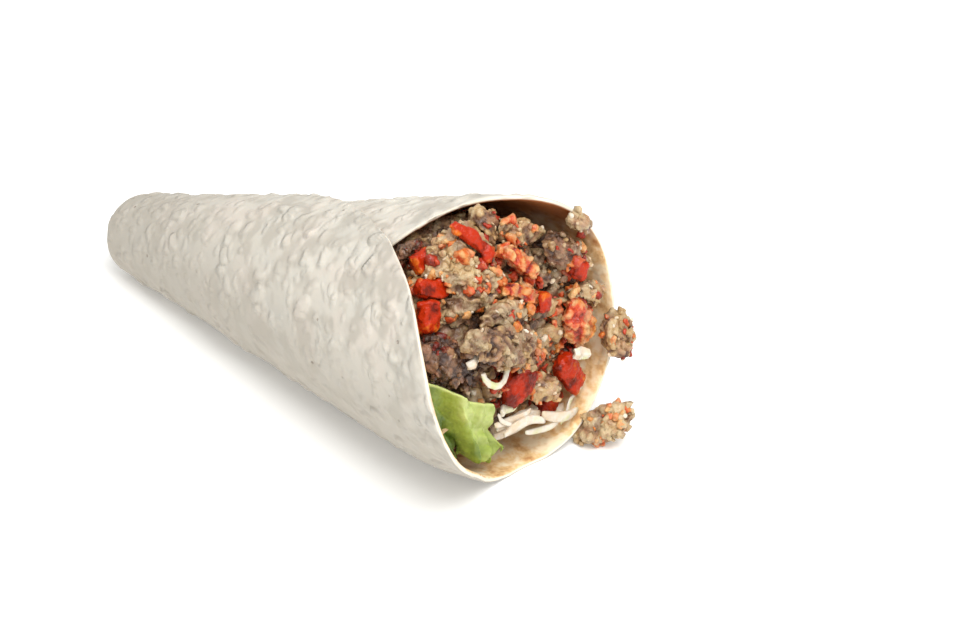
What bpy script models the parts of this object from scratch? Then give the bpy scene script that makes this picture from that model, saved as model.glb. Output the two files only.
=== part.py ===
"""Kebab wrap: a flour tortilla rolled into a cone and tucked shut at its tip, filled with shaved meat,
red pepper, onion, cabbage and a lettuce leaf that show at its open mouth.

Frame: metres, +Z up, +X from the tucked tip to the mouth. The cone lies on its side, its lowest line
pressed flat on the floor, and the origin is on that flat strip.

Places on the wrap are given along the cone's axis from the tip, and by an angle round the axis: 0 is the
floor side, 90 is +Y, 180 is the top and -90 is -Y. Places in the mouth are given across (+Y), up (in the
plane square to the axis) and out (along the axis), from the middle of the mouth.
"""
import bpy
import bmesh
from math import atan2, cos, degrees, exp, hypot, pi, radians, sin, tan
from mathutils import Euler, Matrix, Vector, noise
from mathutils.bvhtree import BVHTree

MM = 0.001

# ---- the cone -------------------------------------------------------------------------------------
HALF_ANGLE = radians(9.5)       # from the axis to the wall
TIP_RADIUS = 13.6 * MM          # of the outer face where the straight wall would meet the tip
PRESSED = 1.0 * MM              # how far the floor side is pressed flat
TIP_TO_ORIGIN = 100 * MM
TIP_ROUND = 7 * MM              # the rounded shoulder of the tucked tip
TIP_OVERHANG = 1.5 * MM         # the tip's end lies this far behind the zero of the axis
TUCK_HOLE = 0.9 * MM            # radius left where the tuck's pleats meet
PLEATS = 7
PLEAT_DEPTH = 0.5 * MM

# ---- the tortilla ---------------------------------------------------------------------------------
SHEET = 1.5 * MM
LAP_GAP = 0.4 * MM              # between the two layers of the overlap
CLEAR = 0.35 * MM               # between neighbouring pieces
LAP_START = -250                # degrees, where the outer edge meets the tip
LAP_CORNER = -151               # degrees, where the outer edge meets the mouth
LAP_END = 279                   # degrees, the hidden inner edge
CORNER_LENGTH = 161 * MM
LAP_SLOPE = 1.5 * MM            # length that the outer edge gains for each degree
LAP_SINK_FROM, LAP_SINK_OVER = 300, 50      # degrees past the outer edge where the layer goes under
RIM = (                         # (angle, length from the tip) along the mouth's edge
    (-151, 161), (-130, 183.5), (-110, 195.5), (-90, 201.5), (-72, 203), (-50, 198), (-20, 187),
    (0, 184.5), (30, 188), (90, 188), (125, 188.5), (150, 184), (172, 173), (190, 167), (209, 161),
    (279, 125))
PINCH = 5 * MM                  # the wall is drawn in beside the floor at the mouth
PINCH_ANGLE, PINCH_SPREAD = -38, 20.6       # degrees
PINCH_FROM, PINCH_TO = 168 * MM, 200 * MM
WAVE = 0.45 * MM                # broad unevenness of the rolled sheet
WAVE_LENGTH = 26 * MM
SETTLED = 8 * MM                # the waves are flattened out this close to the floor

# ---- the filling ----------------------------------------------------------------------------------
MOUTH = 188 * MM                # the mouth's middle, along the axis
MOUTH_RADIUS = 42 * MM
FACE_OUT = 1 * MM               # the middle of the filling's front
FACE_EDGE = (                   # (angle, place out from the mouth's middle) of the front at the wall
    (-151, -29), (-125, -17), (-90, -8), (-50, -10), (-15, -19), (15, -18), (60, -5), (90, -2),
    (130, -5), (160, -15), (185, -24), (209, -29))
CORE_GAP = 1.0 * MM             # between the core and the wall, whose facets are finer
CORE_BACK = 5.5 * MM            # the fused core lies this far behind the visible front
HEADROOM = 5 * MM               # air between the filling and the top of the wall at the mouth
HEADROOM_ANGLE, HEADROOM_SPREAD = 140, 45   # degrees
HEADROOM_FROM, HEADROOM_OVER = 140 * MM, 30 * MM
CRUMBLES = 40                   # small lumps of meat fused to the core's front
CRUMBLE_REACH = 38 * MM         # radius of the part of the front that they cover
CRUMBLE, CRUMBLE_VARIES = 10 * MM, 4 * MM
CRUMBLE_LEAST = 4 * MM
LEAF = 0.6 * MM                 # the lettuce's thickness
SCRAP_FOOT = 0.2 * MM           # height of the fallen shaving's underside, just clear of the floor

AXIS = Vector((cos(HALF_ANGLE), 0, sin(HALF_ANGLE)))
UP = Vector((-sin(HALF_ANGLE), 0, cos(HALF_ANGLE)))
SIDE = Vector((0, 1, 0))
TIP = Vector((-TIP_TO_ORIGIN, 0, TIP_RADIUS * cos(HALF_ANGLE) - PRESSED))

COLOURS = {                     # colour, roughness
    "tortilla": ((0.74, 0.70, 0.62), 0.75), "meat": ((0.36, 0.21, 0.12), 0.45),
    "pepper": ((0.55, 0.05, 0.02), 0.3), "onion": ((0.82, 0.74, 0.62), 0.35),
    "lettuce": ((0.33, 0.48, 0.07), 0.4)}


def ease(t):
    t = min(1, max(0, t))
    return t * t * (3 - 2 * t)


def through(stations, x):
    """A smooth curve through (x, y) stations."""
    last = len(stations) - 1
    k = max(i for i in range(last) if stations[i][0] <= x or i == 0)
    (x0, y0), (x1, y1) = stations[k], stations[k + 1]

    def slope(i):
        a, b = stations[max(i - 1, 0)], stations[min(i + 1, last)]
        return (b[1] - a[1]) / (b[0] - a[0])

    t, h = (x - x0) / (x1 - x0), x1 - x0
    return ((2 * t**3 - 3 * t**2 + 1) * y0 + (t**3 - 2 * t**2 + t) * h * slope(k)
            + (3 * t**2 - 2 * t**3) * y1 + (t**3 - t**2) * h * slope(k + 1))


# ---- the wall's shape -----------------------------------------------------------------------------
def outer_edge(along):
    """The angle of the tortilla's outer edge, which winds back from the mouth to the tip."""
    return max(LAP_START, min(LAP_CORNER, LAP_CORNER - (CORNER_LENGTH - along) / LAP_SLOPE))


def sheet_length(angle):
    if angle < LAP_CORNER:
        return CORNER_LENGTH - (LAP_CORNER - angle) * LAP_SLOPE
    return through(RIM, angle) * MM


def lap_inset(along, angle):
    """How deep a layer lies: it sinks by a sheet and a gap before the outer edge covers it."""
    return (SHEET + LAP_GAP) * ease((angle - outer_edge(along) - LAP_SINK_FROM) / LAP_SINK_OVER)


def pinch(along, angle):
    off = (angle - PINCH_ANGLE + 180) % 360 - 180
    grown = ease((along - PINCH_FROM) / (PINCH_TO - PINCH_FROM))
    return PINCH * grown * exp(-off * off / (2 * PINCH_SPREAD**2))


def place(along, radius, angle):
    turn = radians(angle)
    return TIP + AXIS * along + (SIDE * sin(turn) - UP * cos(turn)) * radius


def on_wall(along, angle, inset):
    radius = TIP_RADIUS + along * tan(HALF_ANGLE) - inset / cos(HALF_ANGLE) - pinch(along, angle)
    point = place(along, radius, angle)
    rise = min(1, max(0, point.z - inset) / SETTLED)
    wave = WAVE * rise * noise.noise(place(along, radius + inset, angle) / WAVE_LENGTH)
    return place(along, radius + wave, angle)


def shoulder(inset, steps):
    """The tip's profile from the tuck's hole to the straight wall, as (along, radius, is_cap)."""
    middle = TIP_ROUND - TIP_OVERHANG
    reach = TIP_RADIUS + middle * tan(HALF_ANGLE) - TIP_ROUND / cos(HALF_ANGLE)
    bend = TIP_ROUND - inset
    profile = [(middle - bend, TUCK_HOLE, 0.3), (middle - bend, (TUCK_HOLE + reach) / 2, 1.0)]
    for step in range(steps):
        turn = pi + (HALF_ANGLE - pi / 2) * step / steps
        profile.append((middle + bend * cos(turn), reach + bend * sin(turn), 1 - step / steps))
    return profile, middle - bend * sin(HALF_ANGLE)


# ---- meshes ---------------------------------------------------------------------------------------
def new_object(name, mesh):
    piece = bpy.data.objects.new(name, mesh)
    wrap.objects.link(piece)
    return piece


def to_mesh(name, shape):
    mesh = bpy.data.meshes.new(name)
    shape.to_mesh(mesh)
    shape.free()
    return mesh


def stitch(shape, rows, closed):
    """Faces through rows of points; a closed row joins its last point to its first."""
    lines = [[shape.verts.new(point) for point in row] for row in rows]
    for above, below in zip(lines, lines[1:]):
        count = len(above)
        for k in range(count if closed else count - 1):
            n = (k + 1) % count
            shape.faces.new((above[k], above[n], below[n], below[k]))
    return lines


def grid_mesh(name, rows):
    """An open sheet through rows of points, split into triangles before it gets its thickness."""
    shape = bmesh.new()
    stitch(shape, rows, False)
    bmesh.ops.triangulate(shape, faces=shape.faces)
    return to_mesh(name, shape)


def apply_modifiers(piece):
    mesh = bpy.data.meshes.new_from_object(piece.evaluated_get(bpy.context.evaluated_depsgraph_get()))
    piece.modifiers.clear()
    piece.data = mesh


def thicken(piece, thickness, offset):
    solid = piece.modifiers.new("thickness", "SOLIDIFY")
    solid.thickness = thickness
    solid.offset = offset
    solid.use_even_offset = True
    apply_modifiers(piece)


def merged(mesh, distance):
    shape = bmesh.new()
    shape.from_mesh(mesh)
    if distance:
        bmesh.ops.remove_doubles(shape, verts=shape.verts, dist=distance)
        bmesh.ops.dissolve_degenerate(shape, edges=shape.edges, dist=distance)
    bmesh.ops.triangulate(shape, faces=shape.faces)
    return shape


def tidy(piece):
    """Merge what slivers of a cut can be merged with the skin still closed, and keep only the largest
    body."""
    for distance in (0.05 * MM, 0.02 * MM, 0.005 * MM, 0):
        shape = merged(piece.data, distance)
        if all(edge.is_manifold for edge in shape.edges):
            break
        shape.free()
    left, bodies = set(shape.faces), []
    while left:
        body, edge = set(), [left.pop()]
        while edge:
            face = edge.pop()
            body.add(face)
            near = {other for side in face.edges for other in side.link_faces} & left
            left -= near
            edge += near
        bodies.append(body)
    bodies.sort(key=len)
    scraps = [face for body in bodies[:-1] for face in body]
    bmesh.ops.delete(shape, geom=scraps, context="FACES")
    shape.to_mesh(piece.data)
    shape.free()


def cut(piece, cutter):
    """Takes the cutter out of a piece. The exact solver loses some of these craggy bodies whole."""
    knife = piece.modifiers.new("cut", "BOOLEAN")
    knife.operation = "DIFFERENCE"
    knife.object = cutter
    knife.solver = "MANIFOLD"
    apply_modifiers(piece)


def swollen(piece, by):
    """A copy with its faces moved out, which cuts a neighbour with that much air to spare."""
    shape = bmesh.new()
    shape.from_mesh(piece.data)
    shape.normal_update()
    moves = [vert.normal * by * min(2, vert.calc_shell_factor()) for vert in shape.verts]
    for vert, move in zip(shape.verts, moves):
        vert.co += move
    name = "swollen_" + piece.name
    return new_object(name, to_mesh(name, shape))


def box_of(piece):
    points = [vert.co for vert in piece.data.vertices]
    return [(min(p[k] for p in points), max(p[k] for p in points)) for k in range(3)]


def boxes_meet(one, other):
    return all(a[0] < b[1] + CLEAR and b[0] < a[1] + CLEAR for a, b in zip(one, other))


def finish(piece, kind):
    colour, roughness = COLOURS[kind]
    material = bpy.data.materials.new(piece.name)
    material.use_nodes = True
    shader = material.node_tree.nodes["Principled BSDF"]
    shader.inputs["Base Color"].default_value = (*colour, 1)
    shader.inputs["Roughness"].default_value = roughness
    material.diffuse_color = (*colour, 1)
    piece.data.materials.clear()
    piece.data.materials.append(material)
    piece.data.shade_smooth()


# ---- the tortilla ---------------------------------------------------------------------------------
def sheet_rows(deeper, longer):
    """Rows of points from the tuck to the mouth, on the sheet's outer face or deeper inside it."""
    flap, turn, straight = 9, 43, 11
    angles = [LAP_START + (LAP_CORNER - LAP_START) * k / flap for k in range(flap)]
    angles += [LAP_CORNER + (LAP_END - LAP_CORNER) * k / turn for k in range(turn + 1)]
    columns = []
    for angle in angles:
        column = []
        tip_inset = lap_inset(0, angle) + deeper
        profile, start = shoulder(tip_inset, 4)
        for along, radius, pleated in profile:
            pleat = PLEAT_DEPTH * pleated * cos(radians(angle) * PLEATS)
            column.append(place(along + pleat, radius, angle))
        end = sheet_length(angle) + longer
        for k in range(straight + 1):
            along = start + (end - start) * k / straight
            column.append(on_wall(along, angle, lap_inset(along, angle) + deeper))
        for point in column:
            point.z = max(point.z, deeper)
        columns.append(column)
    return list(zip(*columns))


def make_tortilla(name, spare):
    """The rolled sheet. With spare it is a thicker one, which keeps other pieces clear of it."""
    piece = new_object(name, grid_mesh(name, sheet_rows(-spare, spare)))
    thicken(piece, SHEET + 2 * spare, -1)
    return piece


# ---- the filling's core and crumbles --------------------------------------------------------------
def face_out(across, up):
    """How far out the filling's front stands at a place in the mouth."""
    angle = degrees(atan2(across, -up))
    edge = through(FACE_EDGE, angle + 360 if angle < FACE_EDGE[0][0] else angle) * MM
    share = min(1.3, (hypot(across, up) / MOUTH_RADIUS) ** 2)
    return FACE_OUT * (1 - share) + edge * share


def in_mouth(across, up, out):
    return TIP + AXIS * (MOUTH + out) + SIDE * across + UP * up


def core_inset(along, angle):
    """The innermost layer of the wall, with a gap, and the air above the filling at the mouth."""
    hidden_edge = LAP_END - 360
    lap = max(lap_inset(along, angle), (SHEET + LAP_GAP) * (1 - ease((angle - hidden_edge) / 30)))
    off = (angle - HEADROOM_ANGLE) / HEADROOM_SPREAD
    air = HEADROOM * ease((along - HEADROOM_FROM) / HEADROOM_OVER) * exp(-off * off)
    return SHEET + CORE_GAP + lap + air


def make_core():
    """The filling's closed core: rings up the inside of the wall, then rings in to the front's middle."""
    sides, straight, face_rings = 28, 9, 4
    angles = [LAP_END - 360 + 360 * k / sides for k in range(sides)]
    inset = 2 * SHEET + LAP_GAP + 2 * CLEAR
    cap, start = shoulder(inset, 2)
    rings = [[place(along, radius, angle) for angle in angles] for along, radius, _ in cap[2:]]
    for k in range(straight + 1):
        ring = []
        for angle in angles:
            turn = radians(angle)
            edge = MOUTH + face_out(sin(turn) * MOUTH_RADIUS, -cos(turn) * MOUTH_RADIUS) - CORE_BACK
            along = start + (edge - start) * k / straight
            ring.append(on_wall(along, angle, core_inset(along, angle)))
        rings.append(ring)
    front_edge = rings[-1]
    for k in range(face_rings - 1, 0, -1):
        share = k / face_rings
        ring = []
        for edge in front_edge:
            arm = edge - in_mouth(0, 0, 0)
            across, up = arm.dot(SIDE) * share, arm.dot(UP) * share
            ring.append(in_mouth(across, up, face_out(across, up) - CORE_BACK))
        rings.append(ring)
    shape = bmesh.new()
    lines = stitch(shape, rings, True)
    back = shape.verts.new(place(inset - TIP_OVERHANG, 0, 0))
    front = shape.verts.new(in_mouth(0, 0, FACE_OUT - CORE_BACK))
    for k in range(sides):
        n = (k + 1) % sides
        shape.faces.new((back, lines[0][n], lines[0][k]))
        shape.faces.new((front, lines[-1][k], lines[-1][n]))
    bmesh.ops.triangulate(shape, faces=shape.faces)
    bmesh.ops.recalc_face_normals(shape, faces=shape.faces)
    return new_object("meat_filling", to_mesh("meat_filling", shape))


# ---- shapes of the loose pieces -------------------------------------------------------------------
def stand(spin, lean, turn):
    """Turns a piece made flat in its own XY plane into the mouth: spin in the mouth's plane, lean
    its top out or in, and turn its sides out or in."""
    mouth = Matrix((SIDE, UP, AXIS)).transposed()
    return mouth @ Euler((radians(lean), radians(turn), radians(spin)), "XYZ").to_matrix()


def bend_along(point, bend, length):
    """Bends a piece along its length into an arc of that many degrees, in its own plane."""
    if not bend:
        return point
    radius = length / radians(bend)
    turn = point.x / radius
    return Vector(((radius - point.y) * sin(turn), radius - (radius - point.y) * cos(turn), point.z))


def to_mesh_object(name, shape, spot, pose):
    for vert in shape.verts:
        vert.co = pose @ vert.co + spot
    return new_object(name, to_mesh(name, shape))


def lump(name, spot, pose, size, bend=0, level=2, seed=0, crag=0.3):
    """A shaving of meat: an uneven rounded body."""
    length, width, depth = size
    shape = bmesh.new()
    bmesh.ops.create_icosphere(shape, subdivisions=level, radius=1)
    shift = Vector((seed * 7.3, seed * 3.1, seed * 1.7))
    for vert in shape.verts:
        p = vert.co
        swell = 1 + crag * noise.noise(p * 1.6 + shift) + crag * 0.7 * noise.noise(p * 3.4 - shift)
        ends = 1 + 0.12 * abs(p.x)
        vert.co = Vector((p.x * length * ends, p.y * width, p.z * depth)) * 0.5 * swell
        vert.co = bend_along(vert.co, bend, length)
    return to_mesh_object(name, shape, spot, pose)


def slab(name, spot, pose, size, bend=0, seed=0, rounding=0.45):
    """A cut of pepper: a soft-cornered flat block, bent as the flesh of the fruit is."""
    shape = bmesh.new()
    bmesh.ops.create_cube(shape, size=2)
    bmesh.ops.subdivide_edges(shape, edges=shape.edges, cuts=1, use_grid_fill=True)
    long_edges = [e for e in shape.edges if abs(e.verts[0].co.x - e.verts[1].co.x) > 0.5]
    bmesh.ops.subdivide_edges(shape, edges=long_edges, cuts=1, use_grid_fill=True)
    shift = Vector((seed * 5.9, seed * 2.3, seed * 4.1))
    for vert in shape.verts:
        p = vert.co
        p = p.lerp(p.normalized() * 1.15, rounding) * (1 + 0.16 * noise.noise(p * 0.9 + shift))
        vert.co = Vector((p.x * size[0], p.y * size[1], p.z * size[2])) * 0.5
        vert.co = bend_along(vert.co, bend, size[0])
    bmesh.ops.triangulate(shape, faces=shape.faces)
    return to_mesh_object(name, shape, spot, pose)


def ribbon(name, spot, pose, size, bend=0, seed=0, wave=0.7 * MM):
    """A shred of onion or cabbage: a thin strip that curls in its plane and waves across it."""
    length, width, depth = size
    steps = max(6, int(abs(bend) / 22))
    rows = []
    for k in range(steps + 1):
        share = k / steps
        taper = width * (0.45 + 0.55 * sin(pi * min(1, max(0, 0.12 + 0.76 * share))))
        sway = wave * sin(share * 7 + seed)
        row = [Vector(((share - 0.5) * length, across * taper, sway)) for across in (-0.5, 0, 0.5)]
        row[1].z += 0.25 * width
        rows.append([pose @ bend_along(point, bend, length) + spot for point in row])
    piece = new_object(name, grid_mesh(name, rows))
    thicken(piece, depth, 0)
    return piece


def make_lettuce():
    """A torn lettuce leaf that lies over the lower -Y side of the mouth: one fold down it, a ruffled
    lower edge, and a straight torn edge on top."""
    across_steps, down_steps = 13, 9
    top_left, top_right = Vector((-37, 2, -5)), Vector((-11, -16, -1))
    low_left, low_right = Vector((-27, -27, -7)), Vector((-8, -35.5, -6))
    rows = []
    for i in range(down_steps + 1):
        v = i / down_steps
        row = []
        for j in range(across_steps + 1):
            u = j / across_steps
            p = top_left.lerp(top_right, u).lerp(low_left.lerp(low_right, u), v)
            fold = 3.2 * exp(-((u - 0.42) / 0.13) ** 2)
            ruffle = (0.5 + 1.5 * v) * sin(19 * u + 2.5 * v) * (0.35 + 0.65 * u)
            frill = 1.6 * v * v * sin(31 * u + 1)
            p += Vector((0.4 * ruffle, -frill + 0.8 * sin(9 * u) * (1 - v), fold + ruffle))
            row.append(in_mouth(p.x * MM, p.y * MM, p.z * MM))
        rows.append(row)
    piece = new_object("lettuce", grid_mesh("lettuce", rows))
    thicken(piece, LEAF, 0)
    return piece


# ---- the pieces that show -------------------------------------------------------------------------
# name, maker, place in the mouth (across, up, above the filling's front), size (length, width, depth),
# bend in degrees, and pose (spin, lean, turn). All lengths in mm.
PIECES = (
    ("onion_curl", ribbon, (-12, -7.5, 3.5), (17, 2, 1), 190, (0, 0, 0), 0),
    ("onion_bit", ribbon, (-20.5, 3.5, 5), (5.5, 3, 1), 0, (10, 0, 0), 0),
    ("onion_side", ribbon, (24.5, -12.5, 3), (7, 4, 1.4), 0, (-22, 0, 0), 0),
    ("onion_pink", ribbon, (-5, -20, 1.5), (6, 3, 1.2), 0, (0, 0, 0), 0),
    ("cabbage_low", ribbon, (2.5, -30, 1.5), (20, 4.6, 1.3), 26, (2, -20, 0), 0),
    ("cabbage_side", ribbon, (21.5, -34, 2.5), (15, 3.6, 1.3), 12, (-8, -10, 0), 0),
    ("pepper_right", lump, (29, -4.5, -1), (20, 13, 8), 0, (-74, 0, 10), 2),
    ("pepper_right_low", slab, (24.5, -21, 0), (15.5, 8.5, 5), 30, (-58, 0, 8), 0),
    ("pepper_bottom", slab, (0, -13.5, -0.5), (14, 10.5, 5), 20, (30, 0, 0), 0),
    ("pepper_low", slab, (19, -29.5, 0.5), (10, 6, 4), 40, (22, 0, 0), 0),
    ("pepper_top", slab, (-5.5, 34.5, 11), (17, 4.5, 3.5), -45, (-56, 0, -20), 0),
    ("pepper_left_upper", slab, (-17, 29.5, 1.5), (8, 6, 5), 0, (0, -15, 0), 0),
    ("pepper_left_middle", slab, (-21, 23.5, 2), (13, 6, 5), 25, (-21, -15, 0), 0),
    ("pepper_left_lower", slab, (-25.5, 17, 0.5), (10, 7, 5), 0, (80, 0, 0), 0),
    ("pepper_centre_top", slab, (8.5, 22.5, 0.5), (18, 6, 5), 24, (-46, -10, 0), 0),
    ("pepper_centre", slab, (5, 14.5, 1), (16, 5, 5), -20, (-38, 0, 0), 0),
    ("pepper_dice", slab, (11, 9.5, 1.5), (6.5, 6, 5), 0, (-21, 0, 0), 0),
    ("pepper_top_right", slab, (30, 12.5, 0.5), (7, 6, 4.5), 0, (-30, 0, 0), 0),
    ("meat_front", lump, (-7, 2.5, 2.5), (36, 13, 11), -10, (-29, 0, 8), 3),
    ("meat_middle", lump, (0, 10.5, 0), (24, 8, 8), -12, (-12, 0, 6), 2),
    ("meat_centre", lump, (-9, 23.5, -0.5), (26, 25, 12), 0, (70, -24, 6), 3),
    ("meat_top", lump, (4, 33.5, 0), (12.5, 12, 10), 0, (80, -25, 0), 2),
    ("meat_top_middle", lump, (14, 29.5, -0.5), (18.5, 9, 9), 20, (-30, -15, 0), 2),
    ("meat_top_right", lump, (26.5, 19, 0), (21, 11, 10), 16, (-38, 0, 6), 2),
    ("meat_right", lump, (33, 3, -0.5), (14, 10, 8), 0, (-18, 0, 0), 2),
    ("meat_left_top", lump, (-15.5, 30.5, -4), (13, 8, 8), 0, (-10, -30, 0), 2),
    ("meat_left_low", lump, (-25, 3, -1.5), (21, 14, 10), 10, (-42, 0, -10), 2),
    ("meat_low", lump, (12.5, -20.5, 0), (12.5, 9.5, 9), 0, (0, 0, 0), 2),
)


def make_piece(entry, seed):
    name, maker, (across, up, above), size, bend, turns, level = entry
    across, up = across * MM, up * MM
    spot = in_mouth(across, up, face_out(across, up) + above * MM)
    size = [value * MM for value in size]
    options = {"level": level} if level else {}
    return maker(name, spot, stand(*turns), size, bend, seed=seed, **options)


def make_rim_pieces():
    """Meat that has worked over the mouth's edge: two shavings on it, and one that has dropped over
    it to the floor and leans on its outside."""
    over = lump("meat_over_rim", in_mouth(40 * MM, -12.5 * MM, 3 * MM), stand(80, 0, 20),
                (14.5 * MM, 12 * MM, 9 * MM), 12, 2, seed=41)
    top = lump("meat_rim_top", in_mouth(30 * MM, 28.5 * MM, 2 * MM), stand(-35, 0, 10),
               (12 * MM, 7 * MM, 7 * MM), 0, 2, seed=42)
    yaw = Matrix.Rotation(radians(45), 3, "Z") @ Matrix.Rotation(radians(-34), 3, "Y")
    scrap = lump("meat_scrap", Vector((95.7 * MM, 28.7 * MM, 6.3 * MM)), yaw,
                 (19.5 * MM, 11 * MM, 13 * MM), 0, 2, seed=43)
    for vert in scrap.data.vertices:
        vert.co.z = max(vert.co.z, SCRAP_FOOT)
    return [over, top, scrap]


def clear_neighbours(pieces, keepers):
    """Each piece gives way to the wall and the core, and to the pieces made before it. Returns the
    cutters, one for each piece."""
    knives = [swollen(piece, CLEAR) for piece in pieces]
    for k, piece in enumerate(pieces):
        for knife in keepers + knives[:k]:
            if boxes_meet(box_of(piece), box_of(knife)):
                cut(piece, knife)
        tidy(piece)
    return knives


def tree_of(piece):
    points = [vert.co for vert in piece.data.vertices]
    return BVHTree.FromPolygons(points, [face.vertices for face in piece.data.polygons])


def inside(point, tree):
    nearest, normal, _, _ = tree.find_nearest(point)
    return (point - nearest).dot(normal) < 0


def fuse_crumbles(core, obstacles):
    """Crumbles of meat cover the core's front on a sunflower's spiral and fuse with it to one body.
    One that would cross a loose piece or the wall is made smaller, or skipped."""
    heap = bpy.data.collections.new("crumbles")
    bpy.context.scene.collection.children.link(heap)
    trees = [tree_of(obstacle) for obstacle in obstacles]
    golden = pi * (3 - 5**0.5)
    for k in range(CRUMBLES):
        reach = CRUMBLE_REACH * ((k + 0.5) / CRUMBLES) ** 0.5
        across, up = reach * sin(k * golden), -reach * cos(k * golden)
        pose = stand(360 * noise.random(), 30 * noise.random() - 15, 0)
        size = CRUMBLE + CRUMBLE_VARIES * noise.random()
        while size > CRUMBLE_LEAST:
            spot = in_mouth(across, up, face_out(across, up) - CORE_BACK + 0.15 * size)
            crumble = lump(f"crumble_{k}", spot, pose, (size, size * 0.75, size * 0.8), 0, 2, seed=60 + k)
            own = tree_of(crumble)
            if not any(own.overlap(tree) or inside(spot, tree) for tree in trees):
                wrap.objects.unlink(crumble)
                heap.objects.link(crumble)
                break
            bpy.data.objects.remove(crumble)
            size *= 0.8
    fuse = core.modifiers.new("crumbles", "BOOLEAN")
    fuse.operation = "UNION"
    fuse.operand_type = "COLLECTION"
    fuse.collection = heap
    fuse.solver = "MANIFOLD"
    apply_modifiers(core)
    for crumble in list(heap.objects):
        bpy.data.objects.remove(crumble)
    bpy.data.collections.remove(heap)
    tidy(core)


for old in list(bpy.data.objects):
    bpy.data.objects.remove(old)
wrap = bpy.data.collections.new("kebab_wrap")
bpy.context.scene.collection.children.link(wrap)
noise.seed_set(7)

tortilla = make_tortilla("tortilla", 0)
wall = make_tortilla("wall", CLEAR)
filling = make_core()
core = swollen(filling, CLEAR)
loose = make_rim_pieces() + [make_lettuce()] + [make_piece(entry, 11 + k) for k, entry in enumerate(PIECES)]
knives = clear_neighbours(loose, [wall, core])
fuse_crumbles(filling, [wall] + knives)
for tool in [wall, core] + knives:
    bpy.data.objects.remove(tool)

finish(tortilla, "tortilla")
finish(filling, "meat")
for piece in loose:
    kind = piece.name.split("_")[0].replace("cabbage", "onion")
    finish(piece, kind)
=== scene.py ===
"""A kebab wrap: a flour tortilla rolled to a cone, with roast meat, red pepper, onion, cabbage and
lettuce at its open mouth. It lies on its side on a pale table, and the mouth points along +X."""
from math import cos, exp, pi, radians, sin, tan

import bmesh
import bpy
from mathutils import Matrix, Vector, noise


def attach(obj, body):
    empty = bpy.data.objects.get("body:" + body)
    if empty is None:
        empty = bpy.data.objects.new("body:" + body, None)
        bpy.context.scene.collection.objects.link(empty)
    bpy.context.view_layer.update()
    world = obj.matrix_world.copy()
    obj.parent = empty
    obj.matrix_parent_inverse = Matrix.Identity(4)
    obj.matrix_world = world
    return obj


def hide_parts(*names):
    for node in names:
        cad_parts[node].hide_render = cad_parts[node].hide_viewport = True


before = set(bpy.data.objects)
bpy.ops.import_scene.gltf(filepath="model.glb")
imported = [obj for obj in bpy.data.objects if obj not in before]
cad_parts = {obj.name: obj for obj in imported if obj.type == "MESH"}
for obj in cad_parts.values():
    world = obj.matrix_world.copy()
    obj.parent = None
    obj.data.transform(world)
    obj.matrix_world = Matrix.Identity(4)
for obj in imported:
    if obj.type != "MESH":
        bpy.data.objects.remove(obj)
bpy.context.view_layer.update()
MM = 0.001


# ---- the table, the light and the camera ----------------------------------------------------------
# A white table top, lit by a pale room and one large soft lamp high over the mouth, on the lip's side,
# so that the light grazes the flank, the tip is in half shade and the shadow gathers under the roll.
TABLE_HALF = 4.0
TABLE_WHITE, TABLE_GLOW = (0.95, 0.95, 0.94, 1), 0.16
TABLE_ROUGHNESS, TABLE_SHINE = 0.9, 0.1
ROOM_WHITE, ROOM_LIGHT = (1.0, 0.995, 0.98, 1), 0.74
LAMP_SPOT, LAMP_AIM = Vector((0.58, -0.20, 1.02)), Vector((0.04, 0, 0.03))
LAMP_SIZE, LAMP_WATTS = 0.85, 12.5
CAMERA_SPOT, CAMERA_LOOKS = Vector((0.4831, -0.4203, 0.3858)), Vector((-0.6066, 0.6182, -0.5))
CAMERA_LENS, CAMERA_SENSOR = 85, 36

scene = bpy.context.scene
scene.view_settings.view_transform = "Standard"


def as_mesh(shape, name):
    mesh = bpy.data.meshes.new(name)
    shape.to_mesh(mesh)
    shape.free()
    return mesh


def put_in(name, data):
    piece = bpy.data.objects.new(name, data)
    scene.collection.objects.link(piece)
    return piece


flat = bmesh.new()
bmesh.ops.create_grid(flat, x_segments=1, y_segments=1, size=TABLE_HALF)
table = put_in("table", as_mesh(flat, "table"))
white_top = bpy.data.materials.new("white table top")
white_top.use_nodes = True
top_shader = white_top.node_tree.nodes["Principled BSDF"]
top_shader.inputs["Base Color"].default_value = TABLE_WHITE
top_shader.inputs["Emission Color"].default_value = TABLE_WHITE
top_shader.inputs["Emission Strength"].default_value = TABLE_GLOW
top_shader.inputs["Roughness"].default_value = TABLE_ROUGHNESS
top_shader.inputs["Specular IOR Level"].default_value = TABLE_SHINE
table.data.materials.append(white_top)

room = bpy.data.worlds.new("pale room")
room.use_nodes = True
room.node_tree.nodes["Background"].inputs["Color"].default_value = ROOM_WHITE
room.node_tree.nodes["Background"].inputs["Strength"].default_value = ROOM_LIGHT
scene.world = room

lamp = put_in("lamp", bpy.data.lights.new("lamp", "AREA"))
lamp.data.shape = "DISK"
lamp.data.size = LAMP_SIZE
lamp.data.energy = LAMP_WATTS
lamp.location = LAMP_SPOT
lamp.rotation_euler = (LAMP_AIM - LAMP_SPOT).to_track_quat("-Z", "Y").to_euler()

camera = put_in("camera", bpy.data.cameras.new("camera"))
camera.data.lens = CAMERA_LENS
camera.data.sensor_width = CAMERA_SENSOR
camera.location = CAMERA_SPOT
camera.rotation_euler = CAMERA_LOOKS.to_track_quat("-Z", "Y").to_euler()
scene.camera = camera


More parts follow.
